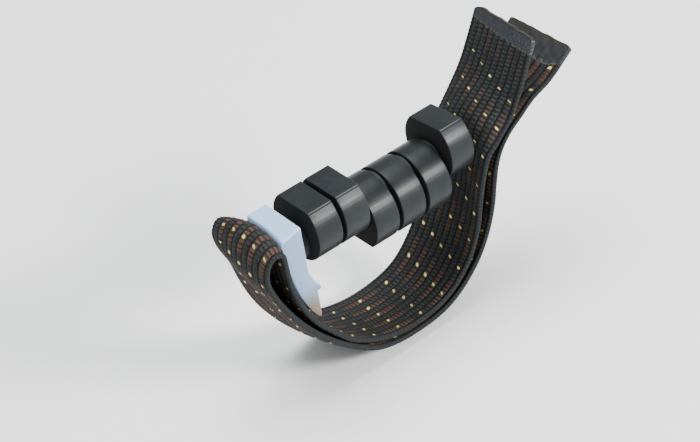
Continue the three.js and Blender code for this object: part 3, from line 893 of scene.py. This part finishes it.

    # the round edges, then the melted ends: the back one is darker, its cords faintly seen through
    # painted shade in their grooves
    selvage = n.mix(n.step(fuzz, 0.3, 0.7), *SELVAGE_BLACK)
    # painted shade in the valleys between the round edges' bumps
    lines = n.math("COSINE", n.math("MULTIPLY", s, 2 * math.pi / KNOT))
    selvage = n.mix(n.math("MULTIPLY_ADD", lines, 0.3, 0.3), selvage, SELVAGE_VALLEY_SHADE)
    colour = n.mix(edge, colour, selvage)
    melted = n.mix(n.noise(uv, 0.9, 2.0, 0.5), *MELTED)
    back = n.math("GREATER_THAN", s, total / 2)
    # painted shade in the grooves, on the back melted end
    groove_shaded = n.math("MULTIPLY_ADD", groove, 0.3, 0.4)
    melted = n.mix(n.math("MULTIPLY", back, groove_shaded), melted, MELTED_BACK)
    flecks = n.math("MULTIPLY_ADD", v, -0.007, n.noise(uv, 3.0, 1.0, 0.5))
    flecks = n.math("ADD", flecks, 0.035)
    flecks = n.math("MULTIPLY_ADD", back, -0.1, flecks)
    melted = n.mix(n.step(flecks, 0.62, 0.70), melted, FLECK)
    colour = n.mix(sealed, colour, melted)
    colour = n.mix(n.math("MULTIPLY", rim, n.step(speck, 0.4, 0.6)), colour, MELTED_RIM)
    tip = n.math("MINIMUM", s, n.math("SUBTRACT", total, s))
    colour = n.mix(n.step(tip, 0.7, 0.35), colour, TIP)

    n.link(colour, b.inputs["Base Color"])
    n.link(n.math("MULTIPLY", glint, 0.6), b.inputs["Metallic"])
    rough = n.math("MULTIPLY_ADD", sealed, -0.26, 0.9)
    n.link(n.math("MULTIPLY_ADD", glint, -0.5, rough), b.inputs["Roughness"])
    b.inputs["Specular IOR Level"].default_value = 0.3
    relief = n.math("MULTIPLY", fuzz, n.math("MULTIPLY_ADD", sealed, -0.75, 1.0))
    relief = n.math("MULTIPLY_ADD", glint, 0.6, relief)
    n.link(n.bump(relief, 0.00016, 0.9), b.inputs["Normal"])
    return n.material


# the weave is laid out on the strap's length above the rod's line, y = 0
rod_line_length = strap_lines(np.array([STRAP_LOW_Y, 0.0, STRAP_HIGH_Y]))[2]
strap, strap_length = make_strap(webbing("woven_elastic", rod_line_length))


# ------------------------------------------------------- floor, light, camera

FLOOR_HALF = 6  # half its side, in metres
FLOOR_GAP = 0.0006  # below the strap, in metres


def make_floor():
    """A wide pale floor just below the strap."""
    n = Nodes("pale_floor")
    n.bsdf.inputs["Base Color"].default_value = (0.92, 0.92, 0.92, 1)
    n.bsdf.inputs["Roughness"].default_value = 0.9
    n.bsdf.inputs["Specular IOR Level"].default_value = 0.1
    mesh = bpy.data.meshes.new("floor")
    low = size_before[0][2] - FLOOR_GAP
    corners = [(-1, -1), (1, -1), (1, 1), (-1, 1)]
    verts = [(x * FLOOR_HALF, y * FLOOR_HALF, low) for x, y in corners]
    mesh.from_pydata(verts, [], [(0, 1, 2, 3)])
    mesh.materials.append(n.material)
    obj = bpy.data.objects.new("floor", mesh)
    bpy.context.scene.collection.objects.link(obj)


def make_light(name, place, aim, size, power, colour):
    """A rectangular light at a place, in metres, turned to its aim."""
    data = bpy.data.lights.new(name, "AREA")
    data.shape = "RECTANGLE"
    data.size, data.size_y = size
    data.energy = power
    data.color = colour
    obj = bpy.data.objects.new(name, data)
    obj.location = place
    obj.rotation_mode = "QUATERNION"
    obj.rotation_quaternion = (Vector(aim) - Vector(place)).to_track_quat("-Z", "Y")
    bpy.context.scene.collection.objects.link(obj)


make_floor()
world = bpy.data.worlds.new("studio")
bpy.context.scene.world = world
world.use_nodes = True
background = world.node_tree.nodes["Background"]
background.inputs["Color"].default_value = (0.95, 0.975, 1.0, 1)
background.inputs["Strength"].default_value = 0.72
make_light("key", (0.40, -0.74, 0.42), (0, 0, 0.01), (0.30, 0.12), 16.0, (1.0, 0.995, 0.98))
make_light("top", (0.05, 0.2, 1.1), (0, 0, 0), (1.0, 0.8), 19.0, (0.97, 0.985, 1.0))

# the camera, at the place and turn that the guitar's frets and board give it
CAMERA_PLACE = (-0.23506, -0.34159, 0.31048)
camera = bpy.data.cameras.new("camera")
camera.lens = 115.7
camera.sensor_width = 36.0
camera.clip_start, camera.clip_end = 0.01, 20
eye = bpy.data.objects.new("camera", camera)
right = Vector((0.76492, -0.62960, -0.13602)).normalized()
back = Vector((-0.44546, -0.66960, 0.59431)).normalized()
up = back.cross(right).normalized()
eye.matrix_world = Matrix((
    (right.x, up.x, back.x, CAMERA_PLACE[0]),
    (right.y, up.y, back.y, CAMERA_PLACE[1]),
    (right.z, up.z, back.z, CAMERA_PLACE[2]),
    (0, 0, 0, 1),
))
bpy.context.scene.collection.objects.link(eye)
bpy.context.scene.camera = eye
